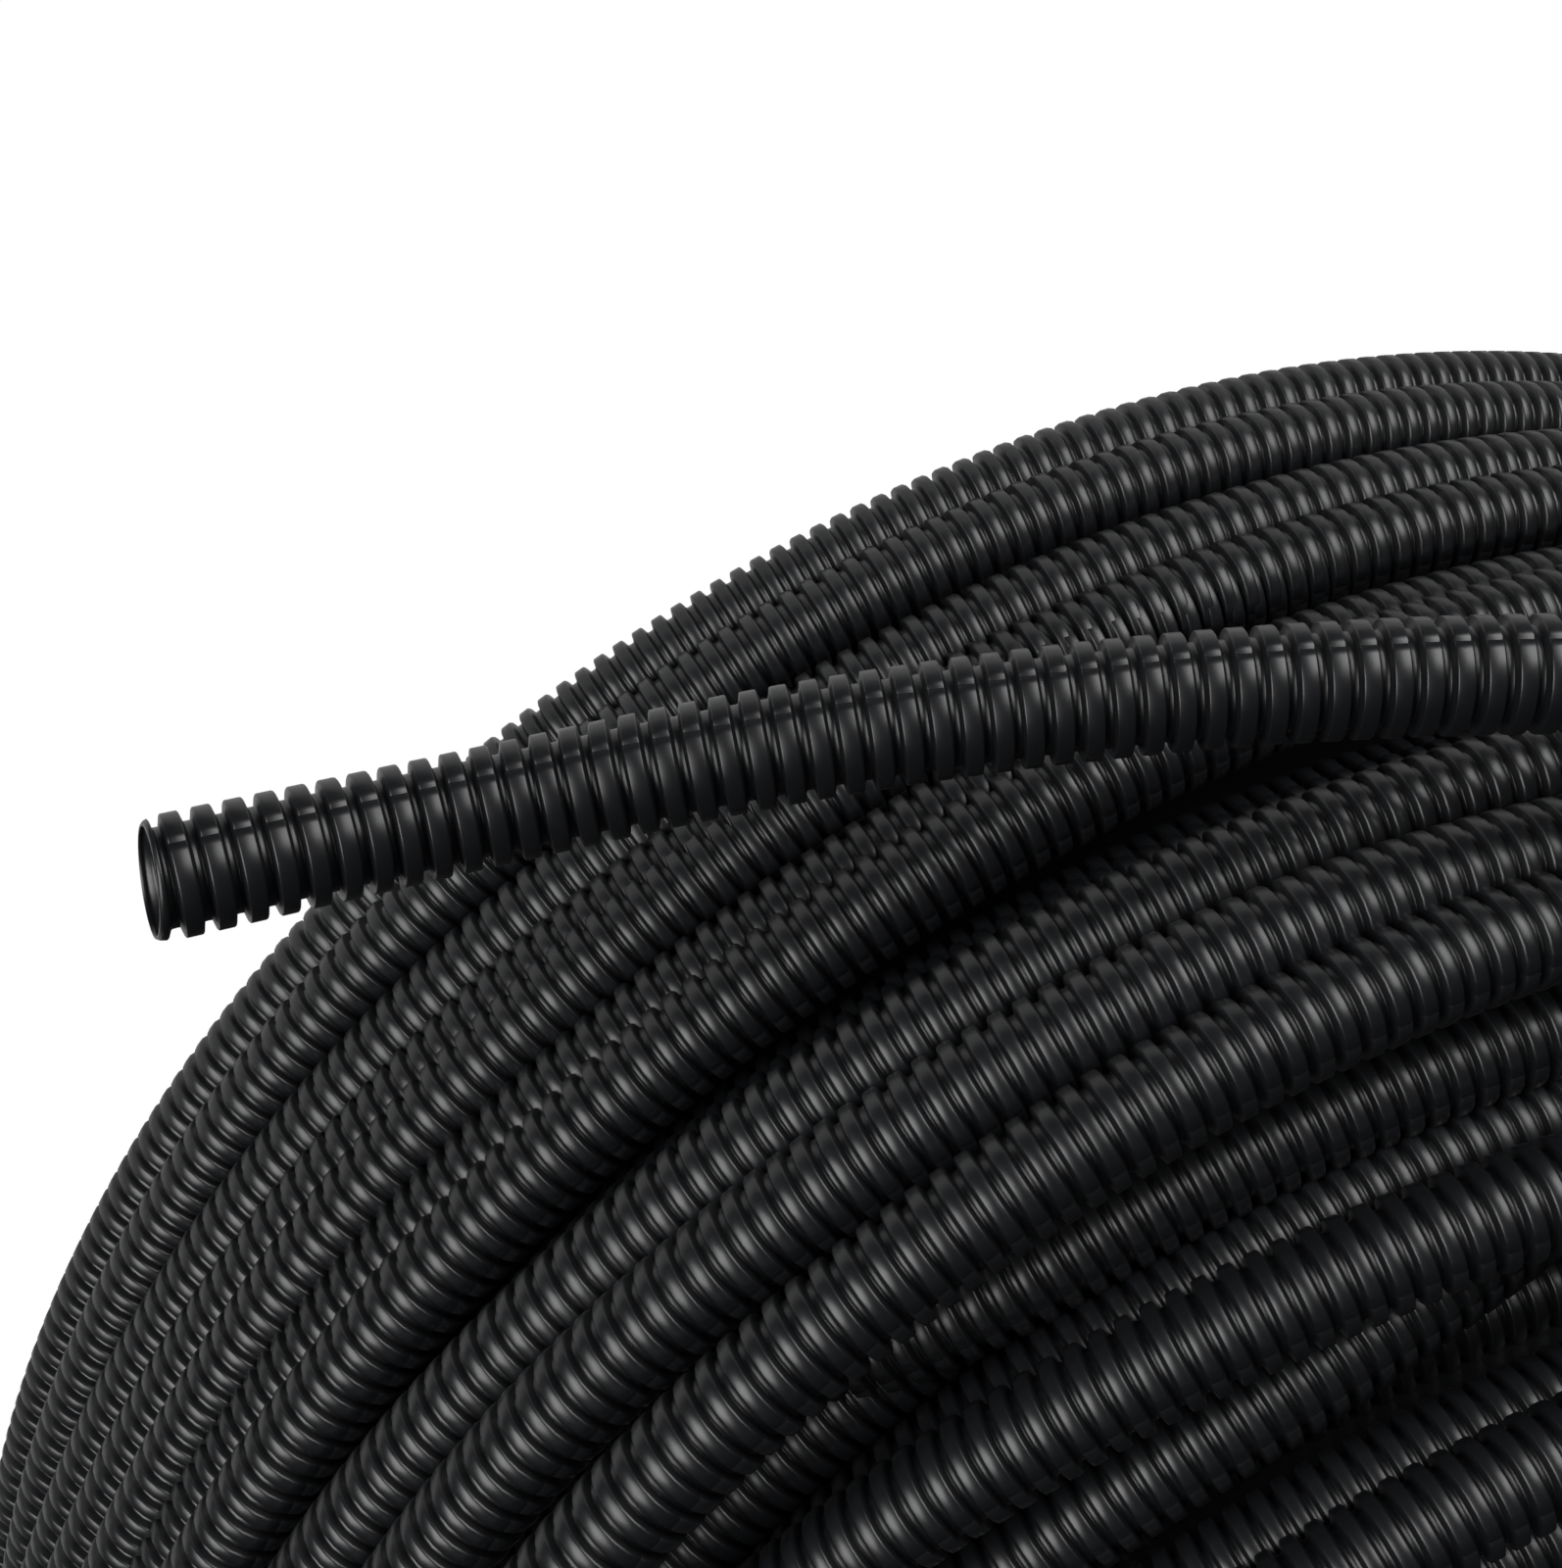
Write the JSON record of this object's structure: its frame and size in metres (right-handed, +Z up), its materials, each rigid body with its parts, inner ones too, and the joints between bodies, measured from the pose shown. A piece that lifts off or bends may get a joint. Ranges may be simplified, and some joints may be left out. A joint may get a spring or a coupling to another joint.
{
  "type": "coil of corrugated conduit",
  "caption": "Coil of thin-walled black plastic conduit with ring-shaped ribs, wound taller towards its bore, with one free end standing off the coil.",
  "frame": {"origin": "centre of the coil's bore, halfway between its two ends", "axes": "+Z up along the bore axis, out of the end that the picture looks at, -Y towards the side that the free end crosses, +X to the right seen from there"},
  "size_m": [0.5818, 0.6458, 0.1738],
  "materials": {
    "black_plastic": "satin"
  },
  "bodies": {
    "root": {"conduit": "black_plastic"}
  },
  "joints": []
}
